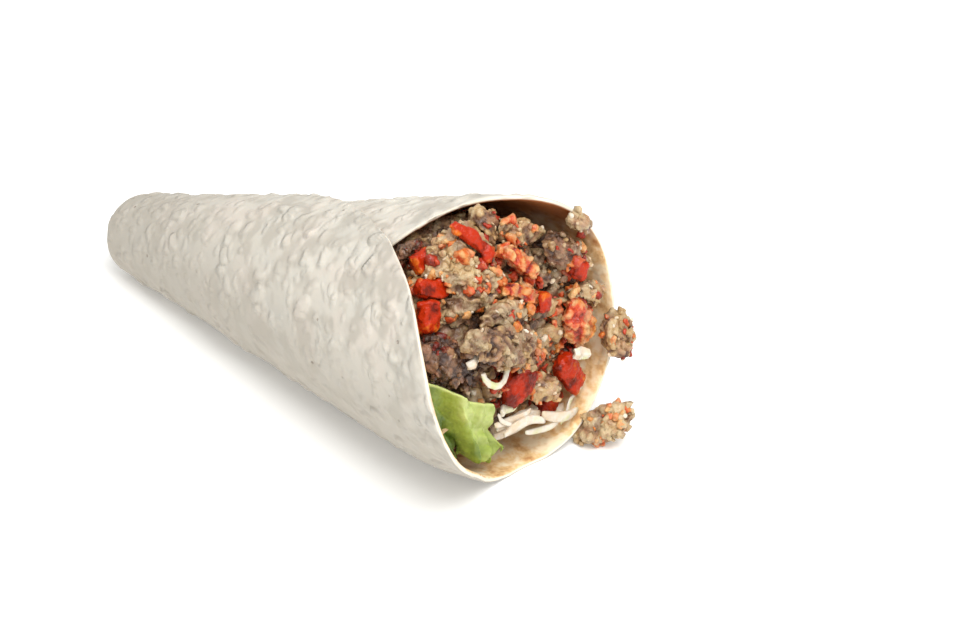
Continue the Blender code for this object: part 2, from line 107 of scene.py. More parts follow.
# ---- the rolled tortilla --------------------------------------------------------------------------
# One soft wheat tortilla, 1.5 mm thick, rolled nearly one and a half turns to a cone and tucked shut
# at the tip. Its outside is pale and floury with bubbles from the press, with painted shade in the
# hollows between the bubbles, where the flour also lies thinner, and on its lower flank. Its inside is
# toasted, and at the top of the mouth painted red-brown for its shade, and its edge shows the white crumb.
HALF_ANGLE = radians(9.5)
TIP_RADIUS, PRESSED, TIP_TO_ORIGIN = 13.6 * MM, 1.0 * MM, 100 * MM
TIP_ROUND, TIP_OVERHANG, TUCK_HOLE = 7 * MM, 1.5 * MM, 0.9 * MM
PLEATS, PLEAT_DEPTH = 7, 0.5 * MM
HOLE_PLEATING = (0.3, 1)                                  # shares of that depth, at the hole and past it
SHEET, LAP_GAP = 1.5 * MM, 0.4 * MM
LAP_START, LAP_CORNER, LAP_END = -250, -151, 279          # degrees, 0 is the table's side
CORNER_LENGTH, LAP_SLOPE = 161 * MM, 1.5 * MM
LAP_SINK_FROM, LAP_SINK_OVER = 300, 50
COVERED_FROM, COVERED_OVER = 352, 8                       # degrees past the outer edge, under the flap
BURIED_FROM, BURIED_OVER = 356, 6                         # degrees back from the inner edge
RIM = (                                                   # (degrees, mm from the tip)
    (-151, 161), (-130, 183.5), (-110, 195.5), (-90, 201.5), (-72, 203), (-50, 198), (-20, 187),
    (0, 184.5), (30, 188), (90, 188), (125, 188.5), (150, 184), (172, 173), (190, 167), (209, 161),
    (279, 125))
PINCH, PINCH_ANGLE, PINCH_SPREAD = 5 * MM, -38, 20.6
PINCH_FROM, PINCH_TO = 168 * MM, 200 * MM
WAVE, WAVE_LENGTH, SETTLED = 0.45 * MM, 26 * MM, 8 * MM
SHOWN_STEP, HIDDEN_STEP = 1.3, 4.0                        # degrees between the sheet's columns
CAP_STEPS, WALL_STEPS = 9, 188
EDGE_BULGE, INNER_RELIEF = 0.35 * MM, 0.4
RELIEF_OFF_TABLE = 2 * MM                                 # the height by which the relief is full

AXIS = Vector((cos(HALF_ANGLE), 0, sin(HALF_ANGLE)))
UP = Vector((-sin(HALF_ANGLE), 0, cos(HALF_ANGLE)))
SIDE = Vector((0, 1, 0))
TIP = Vector((-TIP_TO_ORIGIN, 0, TIP_RADIUS * cos(HALF_ANGLE) - PRESSED))


def ease(t):
    t = min(1, max(0, t))
    return t * t * (3 - 2 * t)


def through(stations, x):
    """A smooth curve through (x, y) stations."""
    last = len(stations) - 1
    k = max(i for i in range(last) if stations[i][0] <= x or i == 0)
    (x0, y0), (x1, y1) = stations[k], stations[k + 1]

    def slope(i):
        a, b = stations[max(i - 1, 0)], stations[min(i + 1, last)]
        return (b[1] - a[1]) / (b[0] - a[0])

    t, h = (x - x0) / (x1 - x0), x1 - x0
    return ((2 * t**3 - 3 * t**2 + 1) * y0 + (t**3 - 2 * t**2 + t) * h * slope(k)
            + (3 * t**2 - 2 * t**3) * y1 + (t**3 - t**2) * h * slope(k + 1))


def outer_edge(along):
    """The angle of the sheet's outer edge, which winds back from the mouth to the tip."""
    return max(LAP_START, min(LAP_CORNER, LAP_CORNER - (CORNER_LENGTH - along) / LAP_SLOPE))


def sheet_length(angle):
    if angle < LAP_CORNER:
        return CORNER_LENGTH - (LAP_CORNER - angle) * LAP_SLOPE
    return through(RIM, angle) * MM


def lap_inset(along, angle):
    """A layer sinks by a sheet and a gap before the outer edge covers it."""
    return (SHEET + LAP_GAP) * ease((angle - outer_edge(along) - LAP_SINK_FROM) / LAP_SINK_OVER)


def pinch(along, angle):
    off = (angle - PINCH_ANGLE + 180) % 360 - 180
    grown = ease((along - PINCH_FROM) / (PINCH_TO - PINCH_FROM))
    return PINCH * grown * exp(-off * off / (2 * PINCH_SPREAD**2))


def place(along, radius, angle):
    turn = radians(angle)
    return TIP + AXIS * along + (SIDE * sin(turn) - UP * cos(turn)) * radius


def on_wall(along, angle, inset):
    radius = TIP_RADIUS + along * tan(HALF_ANGLE) - inset / cos(HALF_ANGLE) - pinch(along, angle)
    point = place(along, radius, angle)
    rise = min(1, max(0, point.z - inset) / SETTLED)
    wave = WAVE * rise * noise.noise(place(along, radius + inset, angle) / WAVE_LENGTH)
    return place(along, radius + wave, angle)


def sheet_point(angle, row, deeper):
    """A point of the sheet, with rows counted from the tuck over the tip's shoulder to the mouth, and
    how far along the axis it lies."""
    bend = TIP_ROUND - lap_inset(0, angle) - deeper
    middle = TIP_ROUND - TIP_OVERHANG
    reach = TIP_RADIUS + middle * tan(HALF_ANGLE) - TIP_ROUND / cos(HALF_ANGLE)
    if row < 2:
        along, pleated = middle - bend, HOLE_PLEATING[row]
        radius = (TUCK_HOLE, (TUCK_HOLE + reach) / 2)[row]
    elif row < CAP_STEPS + 2:
        step = (row - 2) / CAP_STEPS
        turn = pi + (HALF_ANGLE - pi / 2) * step
        along, radius, pleated = middle + bend * cos(turn), reach + bend * sin(turn), 1 - step
    else:
        start = middle - bend * sin(HALF_ANGLE)
        along = start + (sheet_length(angle) - start) * (row - CAP_STEPS - 2) / WALL_STEPS
        point = on_wall(along, angle, lap_inset(along, angle) + deeper)
        point.z = max(point.z, deeper)
        return point, along
    along += PLEAT_DEPTH * pleated * cos(radians(angle) * PLEATS)
    point = place(along, radius, angle)
    point.z = max(point.z, deeper)
    return point, along


def sheet_angles():
    """Columns close together where the sheet shows, and further apart under its own flap."""
    shown_end = LAP_CORNER + 360
    count = 2 * round((shown_end - LAP_START) / SHOWN_STEP / 2)
    hidden = 2 * round((LAP_END - shown_end) / HIDDEN_STEP / 2)
    angles = [LAP_START + (shown_end - LAP_START) * k / count for k in range(count)]
    return angles + [shown_end + (LAP_END - shown_end) * k / hidden for k in range(hidden + 1)]


def face_out(mesh):
    shape = bmesh.new()
    shape.from_mesh(mesh)
    bmesh.ops.recalc_face_normals(shape, faces=shape.faces)
    shape.to_mesh(mesh)
    shape.free()


def roll_sheet():
    """The closed sheet: a fine outer face, an inner face at half the count, and a rounded edge."""
    angles = sheet_angles()
    last_column, last_row = len(angles) - 1, CAP_STEPS + 2 + WALL_STEPS
    last_row -= last_row % 2
    points, faces, relief, inner, crumb = [], [], [], [], []

    def add(point, how_deep, inside, edge):
        points.append(point)
        relief.append(how_deep)
        inner.append(inside)
        crumb.append(edge)
        return len(points) - 1

    outside, inside = {}, {}
    for i, angle in enumerate(angles):
        for j in range(last_row + 1):
            point, along = sheet_point(angle, j, 0)
            lapped = ease((angle - outer_edge(along) - COVERED_FROM) / COVERED_OVER)
            off_table = ease(point.z / RELIEF_OFF_TABLE)
            outside[i, j] = add(point, off_table * (1 - lapped), 0, 0)
            if i % 2 == 0 and j % 2 == 0:
                point, along = sheet_point(angle, j, SHEET)
                over_lap = ease((LAP_END - BURIED_FROM - angle) / BURIED_OVER)
                inside[i, j] = add(point, INNER_RELIEF * (1 - over_lap), 1, 0)
    for i in range(last_column):
        for j in range(last_row):
            faces.append((outside[i, j], outside[i, j + 1], outside[i + 1, j + 1], outside[i + 1, j]))
    for i in range(0, last_column, 2):
        for j in range(0, last_row, 2):
            faces.append((inside[i, j], inside[i + 2, j], inside[i + 2, j + 2], inside[i, j + 2]))

    border = [(i, 0) for i in range(last_column)] + [(last_column, j) for j in range(last_row)]
    border += [(i, last_row) for i in range(last_column, 0, -1)] + [(0, j) for j in range(last_row, 0, -1)]
    edge = []
    for i, j in border:
        near = min(max(i, 1), last_column - 1), min(max(j, 1), last_row - 1)
        outer = points[outside[i, j]]
        inner_point, _ = sheet_point(angles[i], j, SHEET)
        outward = (outer - points[outside[near]]).normalized() if j != 0 else Vector()
        edge.append(add((outer + inner_point) / 2 + outward * EDGE_BULGE, 0, 0.5, 1))
    count = len(border)
    for k in range(count):
        n = (k + 1) % count
        faces.append((outside[border[k]], outside[border[n]], edge[n], edge[k]))
    for k in range(0, count, 2):
        m, n = k + 1, (k + 2) % count
        start, end = inside[border[k]], inside[border[n]]
        faces += [(edge[k], edge[m], start), (edge[m], end, start), (edge[m], edge[n], end)]

    sheet = bpy.data.meshes.new("tortilla_sheet")
    sheet.from_pydata(points, [], faces)
    for name, values in (("relief", relief), ("inside", inner), ("crumb", crumb)):
        sheet.attributes.new(name, "FLOAT", "POINT").data.foreach_set("value", values)
    face_out(sheet)
    return sheet


class Flow:
    """What comes out of one node. Sums on flows add the nodes that work them out."""

    def __init__(self, tree, socket=None):
        self.tree = tree
        self.socket = socket

    def node(self, kind, inputs=(), out=0, stops=(), **settings):
        """Any node: its settings first, then a ramp's stops, then values or flows for its sockets."""
        made = self.tree.nodes.new(kind)
        for setting, value in settings.items():
            setattr(made, setting, value)
        for k, (spot, colour) in enumerate(stops):
            stop = made.color_ramp.elements[k] if k < 2 else made.color_ramp.elements.new(spot)
            stop.position = spot
            stop.color = colour
        for key, value in dict(inputs).items():
            if isinstance(value, Flow):
                self.tree.links.new(value.socket, made.inputs[key])
            else:
                made.inputs[key].default_value = value
        return Flow(self.tree, made.outputs[out])

    def into(self, socket):
        self.tree.links.new(self.socket, socket)

    def is_vector(self):
        return self.socket.type == "VECTOR"

    def sum_with(self, operation, first, second):
        kind = "ShaderNodeVectorMath" if self.is_vector() else "ShaderNodeMath"
        return self.node(kind, {0: first, 1: second}, operation=operation)

    def __add__(self, other):
        return self.sum_with("ADD", self, other)

    __radd__ = __add__

    def __sub__(self, other):
        return self.sum_with("SUBTRACT", self, other)

    def __rsub__(self, other):
        return self.sum_with("SUBTRACT", other, self)

    def __mul__(self, other):
        if self.is_vector():
            return self.node("ShaderNodeVectorMath", {0: self, "Scale": other}, operation="SCALE")
        return self.sum_with("MULTIPLY", self, other)

    __rmul__ = __mul__

    def between(self, low, high):
        """0 below low, 1 above high, and a smooth step from one to the other."""
        return self.node("ShaderNodeMapRange", {"Value": self, "From Min": low, "From Max": high},
                         interpolation_type="SMOOTHSTEP")

    def colours(self, *stops):
        """A colour for each share, from dark to light."""
        return self.node("ShaderNodeValToRGB", {0: self}, stops=[(s, (*c, 1)) for s, c in stops])

    def mixed(self, one, other):
        """The first colour where this is 0, and the other where it is 1."""
        one, other = (c if isinstance(c, Flow) else (*c, 1) for c in (one, other))
        return self.node("ShaderNodeMix", {0: self, 6: one, 7: other}, out=2, data_type="RGBA")

    def clouds(self, size, detail=2.0, roughness=0.5, distortion=0.0):
        """Noise on this place, with spots of that size."""
        return self.node("ShaderNodeTexNoise", {"Vector": self, "Scale": 1 / size, "Detail": detail,
                                                "Roughness": roughness, "Distortion": distortion})

    def cells(self, size, feature="F1"):
        """Distance to the nearest of many scattered spots, or to the line between two of them."""
        return self.node("ShaderNodeTexVoronoi", {"Vector": self, "Scale": 1 / size}, feature=feature)

    def stirred(self, size, far):
        """This place moved about by clouds, so that a pattern on it loses its evenness."""
        drift = self.node("ShaderNodeTexNoise", {"Vector": self, "Scale": 1 / size, "Detail": 1.0}, out=1)
        drift = self.node("ShaderNodeVectorMath", {0: drift, 1: (0.5, 0.5, 0.5)}, operation="SUBTRACT")
        return self + drift * (2 * far)

    def off(self, middle):
        """How far this is from a middle value, to either side."""
        return self.node("ShaderNodeMath", {0: self - middle}, operation="ABSOLUTE")

    def crest(self, width):
        """1 along the lines where clouds are half way, down to 0 that far to either side."""
        return self.off(0.5).between(width, 0.0)


def modifier_tree(name, sizes):
    """A node tree for a modifier, with one named input for each size."""
    tree = bpy.data.node_groups.new(name, "GeometryNodeTree")
    tree.interface.new_socket("Geometry", in_out="INPUT", socket_type="NodeSocketGeometry")
    tree.interface.new_socket("Geometry", in_out="OUTPUT", socket_type="NodeSocketGeometry")
    for size in sizes:
        tree.interface.new_socket(size, in_out="INPUT", socket_type="NodeSocketFloat")
    entry = tree.nodes.new("NodeGroupInput")
    given = {socket.name: Flow(tree, socket) for socket in entry.outputs if socket.name}
    return tree, given


def end_tree(tree, geometry, material):
    """Every tree ends in real meshes with their material on."""
    real = geometry.node("GeometryNodeRealizeInstances", {"Geometry": geometry})
    dressed = real.node("GeometryNodeSetMaterial", {"Geometry": real, "Material": material})
    dressed.into(tree.nodes.new("NodeGroupOutput").inputs["Geometry"])


def make_solid(piece, tree, sizes):
    """Runs a tree on a piece and keeps the result as its plain mesh."""
    modifier = piece.modifiers.new(tree.name, "NODES")
    modifier.node_group = tree
    for item in tree.interface.items_tree:
        if item.name in sizes:
            modifier[item.identifier] = sizes[item.name]
    bpy.context.view_layer.update()
    made = bpy.data.meshes.new_from_object(piece.evaluated_get(bpy.context.evaluated_depsgraph_get()))
    piece.modifiers.clear()
    piece.data = made
    made.shade_smooth()


def recipe(name):
    """A new material: its shader, and the place on the piece that its patterns read."""
    material = bpy.data.materials.new(name)
    material.use_nodes = True
    tree = material.node_tree
    spot = Flow(tree).node("ShaderNodeTexCoord", out=3)
    return material, tree.nodes["Principled BSDF"], spot


def painted(spot, name):
    """A value that a piece's mesh carries."""
    return spot.node("ShaderNodeAttribute", out=2, attribute_name=name)


def bumped(shader, height, depth):
    """Fine relief, as deep as stated where the height goes from 0 to 1."""
    bump = height.node("ShaderNodeBump", {"Height": height, "Distance": depth, "Strength": 1.0})
    bump.into(shader.inputs["Normal"])


def lit_within(shader, share, depth, colour):
    """A share of the light goes into the flesh, that deep, and comes out in that colour."""
    shader.inputs["Subsurface Weight"].default_value = share
    shader.inputs["Subsurface Scale"].default_value = depth
    shader.inputs["Subsurface Radius"].default_value = colour


FLOUR_PALE, FLOUR_ROSY, FLOUR_GREY = (0.63, 0.59, 0.515), (0.65, 0.59, 0.515), (0.59, 0.562, 0.497)
FLOUR_PIT_SHADE, FLOUR_UNDERSIDE_SHADE = (0.42, 0.385, 0.325), (0.42, 0.385, 0.33)
TOAST_PALE, TOAST_GOLD, TOAST_BROWN = (0.93, 0.77, 0.53), (0.80, 0.54, 0.26), (0.55, 0.28, 0.11)
INNER_TOP_SHADE, SPECK_BROWN, CRUMB_WHITE = (0.30, 0.08, 0.014), (0.36, 0.29, 0.23), (0.90, 0.82, 0.68)
UNDERSIDE_SHADE_FROM, UNDERSIDE_SHADE_TO, UNDERSIDE_SHADE_SHARE = 58 * MM, 22 * MM, 0.75            # heights over the table
INNER_SHADE_FROM, INNER_SHADE_TO, INNER_SHADE_SWAY = 63 * MM, 80 * MM, 16 * MM
FLOUR_PATCH, SPECKS_APART, DUST_GRAIN = 19 * MM, 9 * MM, 1.1 * MM
TOAST_PATCH, TOAST_GRAIN, INNER_SHADE_PATCH = 9 * MM, 2.4 * MM, 12 * MM
BUBBLE, SMALL_BUBBLE, BUBBLE_PATCH, PIT_PATCH = 7.5 * MM, 4.6 * MM, 13 * MM, 9 * MM
BUBBLE_STIR, BUBBLE_DRIFT = 9 * MM, 3.0 * MM
SWAY_LENGTH, FOLD_LENGTH, FOLD_PATCH = 34 * MM, 9 * MM, 10 * MM
SKIN_RELIEF, LIGHT_IN_SKIN = 1.0 * MM, 1.5 * MM


def press_bubbles(spot):
    """Where the sheet's round bubbles are, in patches, and the stirred place that smaller ones read."""
    loose = spot.stirred(BUBBLE_STIR, BUBBLE_DRIFT)
    bubbles = 1 - loose.cells(BUBBLE).between(0.2, 0.52)
    return bubbles * spot.clouds(BUBBLE_PATCH, 2).between(0.4, 0.56), loose


def baked_flour():
    material, shader, spot = recipe("baked flour")
    patches = spot.clouds(FLOUR_PATCH, 3, 0.6)
    outside = patches.colours((0.38, FLOUR_GREY), (0.5, FLOUR_PALE), (0.62, FLOUR_ROSY))
    above = spot.node("ShaderNodeSeparateXYZ", {0: spot}, out=2)
    # Painted shade: the outside darkens towards the table, where the lower flank turns away from the light.
    outside = (above.between(UNDERSIDE_SHADE_FROM, UNDERSIDE_SHADE_TO) * UNDERSIDE_SHADE_SHARE).mixed(outside, FLOUR_UNDERSIDE_SHADE)
    specks = spot.cells(SPECKS_APART).between(0.075, 0.03)
    outside = specks.mixed(outside, SPECK_BROWN)
    toasted = spot.clouds(TOAST_PATCH, 4, 0.62, 0.4) * 0.7 + spot.clouds(TOAST_GRAIN, 2) * 0.3
    inner_face = toasted.colours((0.37, TOAST_BROWN), (0.47, TOAST_GOLD), (0.58, TOAST_PALE))
    # Painted shade: the inside darkens to red-brown high in the mouth, where the upper wall faces down out
    # of the light.
    wavering = above + spot.clouds(INNER_SHADE_PATCH, 2) * INNER_SHADE_SWAY
    inner_face = (wavering.between(INNER_SHADE_FROM, INNER_SHADE_TO) * 0.96).mixed(inner_face, INNER_TOP_SHADE)
    bubbles, loose = press_bubbles(spot)
    small_bubbles = 1 - loose.cells(SMALL_BUBBLE).between(0.12, 0.55)
    # Painted shade in the hollows between the bubbles, where the flour also lies thinner: the outside is
    # darker where no bubble rises.
    pit_shade = (1 - bubbles * 0.6 - small_bubbles * 0.4) * spot.clouds(PIT_PATCH, 2).between(0.42, 0.6) * 0.6
    outside = pit_shade.mixed(outside, FLOUR_PIT_SHADE)
    inside = painted(spot, "inside").between(0.3, 0.7)
    skin = inside.mixed(outside, inner_face)
    painted(spot, "crumb").between(0.15, 0.8).mixed(skin, CRUMB_WHITE).into(shader.inputs["Base Color"])
    shader.inputs["Roughness"].default_value = 0.72
    shader.inputs["Specular IOR Level"].default_value = 0.3
    lit_within(shader, 0.1, LIGHT_IN_SKIN, (1.0, 0.7, 0.45))
    dust = spot.clouds(DUST_GRAIN, 3, 0.6)
    relief = bubbles * 0.8 + small_bubbles * 0.4 + dust * 0.14 - specks * 0.5
    bumped(shader, relief * (1 - inside * 0.6), SKIN_RELIEF)
    return material


def raised(geometry, height):
    """The surface moved out along its normals by that height, but never down through the table."""
    normal = geometry.node("GeometryNodeInputNormal")
    moved = geometry.node("GeometryNodeSetPosition", {"Geometry": geometry, "Offset": normal * height})
    now = geometry.node("GeometryNodeInputPosition")
    x, y, z = (now.node("ShaderNodeSeparateXYZ", {0: now}, out=k) for k in range(3))
    z = z.node("ShaderNodeMath", {0: z, 1: 0.0}, operation="MAXIMUM")
    stands = now.node("ShaderNodeCombineXYZ", {"X": x, "Y": y, "Z": z})
    return moved.node("GeometryNodeSetPosition", {"Geometry": moved, "Position": stands})


def press_blisters(material):
    """The press and the hot plate leave round bubbles and short folds across the roll."""
    tree, given = modifier_tree("blisters", ("Sway", "Blister rise", "Fold rise"))
    geometry = given["Geometry"]
    spot = geometry.node("GeometryNodeInputPosition")
    sway = (spot.clouds(SWAY_LENGTH, 1) - 0.5) * given["Sway"]
    bubbles, loose = press_bubbles(spot)
    small_bubbles = 1 - loose.cells(SMALL_BUBBLE).between(0.15, 0.5)
    folds = loose.clouds(FOLD_LENGTH, 1).crest(0.05) * spot.clouds(FOLD_PATCH, 1).between(0.46, 0.58)
    height = (bubbles + small_bubbles * 0.25 - 0.35) * given["Blister rise"]
    height = height + folds * given["Fold rise"] + sway
    shown = geometry.node("GeometryNodeInputNamedAttribute", {"Name": "relief"}, data_type="FLOAT")
    moved = raised(geometry, height * shown)
    end_tree(tree, moved, material)
    return tree


tortilla = put_in("tortilla_sheet", roll_sheet())
make_solid(tortilla, press_blisters(baked_flour()),
           {"Sway": 1.8 * MM, "Blister rise": 0.62 * MM, "Fold rise": 0.2 * MM})
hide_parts("tortilla")
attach(tortilla, "root")


# ---- the meat -------------------------------------------------------------------------------------
# Shavings of roast meat, chopped small and moist, grey-brown to ochre, crumbling along deep cracks,
# with painted shade in the cracks and painted highlight on the raised crumbs. Each keeps the body of its
# solid, with the crumbs and cracks worked in.
MEAT_PIECES = ("meat_front", "meat_middle", "meat_centre", "meat_top", "meat_top_middle", "meat_top_right",
               "meat_right", "meat_left_top", "meat_left_low", "meat_low", "meat_over_rim", "meat_rim_top",
               "meat_scrap")
# Painted shade for each piece, in mm of seeming depth: darker in the shade inside the roll, paler out in the
# light.
MEAT_PAINTED_SHADES = {"meat_left_low": 1.3 * MM, "meat_left_top": 1.0 * MM, "meat_top_right": 0.5 * MM,
               "meat_front": 0.45 * MM, "meat_rim_top": 0.0, "meat_scrap": -0.2 * MM}
# The darkest colours stand for painted shade in the cracks, and the palest for painted highlight on the
# raised crumbs.
MEAT_CREVICE, MEAT_BROWN = (0.045, 0.018, 0.01), (0.20, 0.10, 0.05)
MEAT_OCHRE, MEAT_GREY = (0.47, 0.295, 0.125), (0.36, 0.255, 0.145)
MEAT_PALE_HIGHLIGHT, MEAT_PINK = (0.60, 0.46, 0.265), (0.38, 0.185, 0.105)
MEAT_PAINTED_SHADE = 0.15 * MM                                    # of all the others
MEAT_FACE, MEAT_ROUNDS, MEAT_STEP = 0.42 * MM, 6, 0.031   # the step shifts the pattern for each piece
MERGE = 0.01 * MM                                         # points closer than this are one
TONE_LOW, TONE_HIGH = -1.9 * MM, 0.8 * MM                 # heights of the darkest and the palest flesh: painted shade and painted highlight
FLESH_PATCH, FLESH_GRAIN, STAIN_PATCH, WET_PATCH = 9 * MM, 2.2 * MM, 4 * MM, 1.8 * MM
FIBRE, FIBRE_GRAIN, FIBRE_RELIEF = 1.1 * MM, 0.7 * MM, 0.42 * MM
FIBRE_STIR, FIBRE_DRIFT = 2.5 * MM, 0.9 * MM
LUMP, CRUMB, CRACKS_APART, GRAIN = 9 * MM, 3.0 * MM, 9 * MM, 1.9 * MM
CRAG_STIR, CRAG_DRIFT = 5 * MM, 1.8 * MM


def joined_copy(node):
    """A node's solid, with its loose triangles joined."""
    shape = bmesh.new()
    shape.from_mesh(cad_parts[node].data)
    bmesh.ops.remove_doubles(shape, verts=shape.verts, dist=MERGE)
    return shape


def worked(body, voxel, rounds):
    """A piece with even faces, its facets worked smooth, ready for its own surface."""
    piece = put_in(body.name, body)
    even = piece.modifiers.new("even faces", "REMESH")
    even.mode = "VOXEL"
    even.voxel_size = voxel
    smooth = piece.modifiers.new("worked smooth", "SMOOTH")
    smooth.factor = 0.5
    smooth.iterations = rounds
    made = bpy.data.meshes.new_from_object(piece.evaluated_get(bpy.context.evaluated_depsgraph_get()))
    piece.modifiers.clear()
    piece.data = made
    return piece


def in_place_of(node, name, voxel, rounds, tree, sizes):
    """The piece that stands for a solid: its own body, with the tree's surface worked in."""
    piece = worked(as_mesh(joined_copy(node), name), voxel, rounds)
    make_solid(piece, tree, sizes)
    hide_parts(node)
    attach(piece, "root")
    return piece


def moist_flesh(name, darkest, brown, warm, cool, palest, stain):
    """Chopped cooked flesh: painted shade darkens it in its cracks and painted highlight pales it on its
    raised crumbs, with two tints in patches.
    """
    material, shader, spot = recipe(name)
    height = painted(spot, "height")
    # The tone follows the stored height: painted shade where the surface is low, painted highlight where it
    # is high.
    tone = height.between(TONE_LOW, TONE_HIGH) * 0.8 + spot.clouds(FLESH_GRAIN, 3, 0.65) * 0.5 - 0.16
    warm_part = tone.colours((0.12, darkest), (0.36, brown), (0.6, warm), (0.88, palest))
    cool_part = tone.colours((0.12, darkest), (0.36, brown), (0.6, cool), (0.88, palest))
    flesh = spot.clouds(FLESH_PATCH, 1).between(0.42, 0.58).mixed(warm_part, cool_part)
    stained = spot.clouds(STAIN_PATCH, 2).between(0.52, 0.66) * 0.55
    stained.mixed(flesh, stain).into(shader.inputs["Base Color"])
    wet = spot.clouds(WET_PATCH, 2).between(0.38, 0.62)
    (0.54 - wet * 0.3).into(shader.inputs["Roughness"])
    shader.inputs["Coat Weight"].default_value = 0.15
    shader.inputs["Coat Roughness"].default_value = 0.2
    lit_within(shader, 0.12, 1.0 * MM, (1.0, 0.45, 0.3))
    loose = spot.stirred(FIBRE_STIR, FIBRE_DRIFT)
    fibres = loose.cells(FIBRE) * -0.6 + loose.clouds(FIBRE_GRAIN, 3, 0.65) * 0.7
    bumped(shader, fibres, FIBRE_RELIEF)
    return material


def crag_tree(name, material):
    """Lumps, crumbs, cracks and grain, worked into a smooth body along its normals. Shade makes a
    piece as dark as if it lay that much deeper, and Shift moves the pattern on."""
    sizes = ("Lump rise", "Crumb rise", "Crack depth", "Grain rise", "Shade", "Shift")
    tree, given = modifier_tree(name, sizes)
    geometry = given["Geometry"]
    apart = geometry.node("ShaderNodeCombineXYZ", {"X": given["Shift"], "Y": given["Shift"]})
    spot = geometry.node("GeometryNodeInputPosition") + apart
    loose = spot.stirred(CRAG_STIR, CRAG_DRIFT)
    lumps = (spot.clouds(LUMP, 2) - 0.5) * given["Lump rise"]
    crumbs = (0.4 - loose.cells(CRUMB)) * given["Crumb rise"]
    cracks = loose.cells(CRACKS_APART, "DISTANCE_TO_EDGE").between(0.0, 0.14) - 1
    cracks = cracks * given["Crack depth"]
    grain = (loose.clouds(GRAIN, 3, 0.65) - 0.5) * given["Grain rise"]
    height = lumps + crumbs + cracks + grain
    moved = raised(geometry, height)
    kept = moved.node("GeometryNodeStoreNamedAttribute",
                      {"Geometry": moved, "Name": "height", "Value": height - given["Shade"]},
                      data_type="FLOAT", domain="POINT")
    end_tree(tree, kept, material)
    return tree


MEAT_CRAGS = {"Lump rise": 2.4 * MM, "Crumb rise": 1.2 * MM, "Crack depth": 0.5 * MM, "Grain rise": 1.8 * MM}
SPILT = ("meat_scrap", "meat_over_rim")
heap, core, spilt = (bpy.data.collections.new(name) for name in ("heap", "core", "spilt"))
meat_finish = moist_flesh("roast meat", MEAT_CREVICE, MEAT_BROWN, MEAT_OCHRE, MEAT_GREY, MEAT_PALE_HIGHLIGHT,
                          MEAT_PINK)
meat_crags = crag_tree("meat crags", meat_finish)
for k, node in enumerate(MEAT_PIECES):
    depth = MEAT_PAINTED_SHADES.get(node, MEAT_PAINTED_SHADE)            # painted shade: darker inside the roll and under the lip, paler outside it in the light
    shaving = in_place_of(node, node + "_roasted", MEAT_FACE, MEAT_ROUNDS, meat_crags,
                          {**MEAT_CRAGS, "Shade": depth, "Shift": MEAT_STEP * k})
    heap.objects.link(shaving)
    if node in SPILT:
        spilt.objects.link(shaving)


# ---- the imported filling behind them ---------------------------------------------------------------
# The body of the filling: meat crumbs pressed together in the roll, brown and moist, of which only
# the front shows, darkened with painted shade, between the shavings.
FRONT_FROM = 45 * MM                                      # along X, behind all that shows
FRONT_FACE, INSIDE_FACE = 0.6 * MM, 1.6 * MM
# Its Shade is painted shade for the gaps between the shavings.
PACKED_CRAGS = {**MEAT_CRAGS, "Lump rise": 3.5 * MM, "Shade": 0.5 * MM, "Shift": 0.5}


def packed_part(name, keep_front, voxel):
    shape = joined_copy("meat_filling")
    everything = shape.verts[:] + shape.edges[:] + shape.faces[:]
    bmesh.ops.bisect_plane(shape, geom=everything, plane_co=(FRONT_FROM, 0, 0), plane_no=(1, 0, 0),
                           clear_inner=keep_front, clear_outer=not keep_front)
    bmesh.ops.holes_fill(shape, edges=shape.edges, sides=0)
    bmesh.ops.recalc_face_normals(shape, faces=shape.faces)
    piece = worked(as_mesh(shape, name), voxel, 1)
    make_solid(piece, meat_crags, PACKED_CRAGS)
    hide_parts("meat_filling")
    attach(piece, "root")
    return piece


filling_front = packed_part("filling_front", True, FRONT_FACE)
packed_part("filling_inside", False, INSIDE_FACE)
heap.objects.link(filling_front)
core.objects.link(filling_front)


# ---- the red pepper -------------------------------------------------------------------------------
# Strips and dice of ripe red pepper, a few millimetres thick, wet and glossy. They are deep red, and
# orange in patches where the flesh shows, with painted shade deeper red in their hollows and on the cuts low
# in the mouth.
PEPPER_CUTS = ("pepper_bottom", "pepper_low", "pepper_top", "pepper_left_upper", "pepper_left_middle",
               "pepper_left_lower", "pepper_dice", "pepper_top_right", "pepper_right_low")
PEPPER_IN_PAINTED_SHADE = ("pepper_bottom", "pepper_low")         # painted shade: these cuts lie in shade low in the mouth
PEPPER_DEEP, PEPPER_RED, PEPPER_ORANGE = (0.14, 0.009, 0.002), (0.45, 0.025, 0.003), (0.66, 0.16, 0.012)
PEPPER_PAINTED_SHADE, PEPPER_PATCH, PEPPER_RELIEF = 1.8 * MM, 5 * MM, 0.6 * MM
PEPPER_FACE, PEPPER_ROUNDS, PEPPER_START, PEPPER_STEP = 0.4 * MM, 14, 0.4, 0.021
PEPPER_CRAGS = {"Lump rise": 3.2 * MM, "Crumb rise": 0.7 * MM, "Crack depth": 0.3 * MM,
                "Grain rise": 0.8 * MM}


